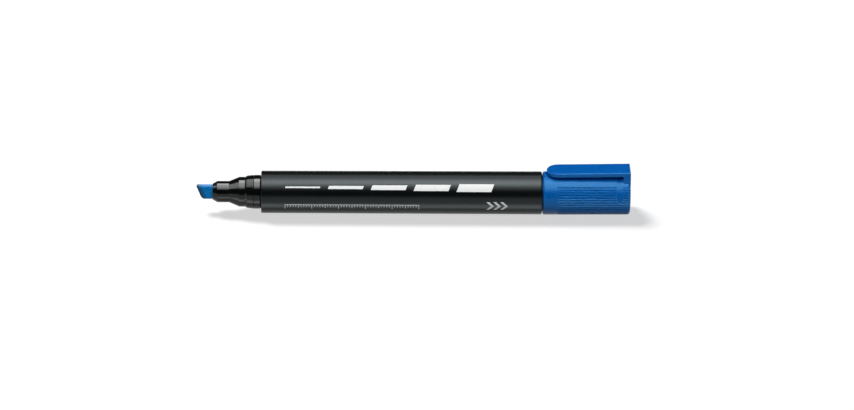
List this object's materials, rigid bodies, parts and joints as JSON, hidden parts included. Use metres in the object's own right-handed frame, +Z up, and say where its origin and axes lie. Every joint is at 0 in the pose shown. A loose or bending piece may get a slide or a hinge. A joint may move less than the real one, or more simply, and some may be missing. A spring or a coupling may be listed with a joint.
{
  "type": "permanent marker",
  "caption": "Permanent marker with a stepped nib section, slanted chisel nib, and a pull-off cap with grip grooves and a pocket clip, posted on the rear end.",
  "frame": {"origin": "on the surface that the marker lies on, below the middle of its length", "axes": "+X along the marker from the nib to the cap, +Z up with the clip on top, +Y to the far side"},
  "size_m": [0.1624, 0.0162, 0.0186],
  "materials": {
    "barrel_plastic": "satin black",
    "section_plastic": "gloss black",
    "nib_felt": "ink-soaked felt",
    "reservoir_fibre": "ink-soaked fibre",
    "film": "clear film",
    "blue_plastic": "satin blue",
    "natural_plastic": "natural"
  },
  "bodies": {
    "barrel": {"barrel": "barrel_plastic", "front_section": "section_plastic", "chisel_nib": "nib_felt", "ink_reservoir": "reservoir_fibre", "reservoir_film": "film", "rear_plug": "blue_plastic"},
    "cap": {"cap_shell": "blue_plastic", "cap_liner": "natural_plastic"},
    "clip": {"pocket_clip": "blue_plastic"}
  },
  "joints": [
    {"name": "cap_pull", "type": "slide", "parent": "barrel", "child": "cap", "axis": [1, 0, 0], "range_m": [0, 0.04]},
    {"name": "clip_flex", "type": "hinge", "parent": "cap", "child": "clip", "pos_m": [0.08125, 0, 0.01335], "axis": [0, 1, 0], "range_deg": [0, 5], "stiffness_Nm_per_rad": 0.42}
  ]
}
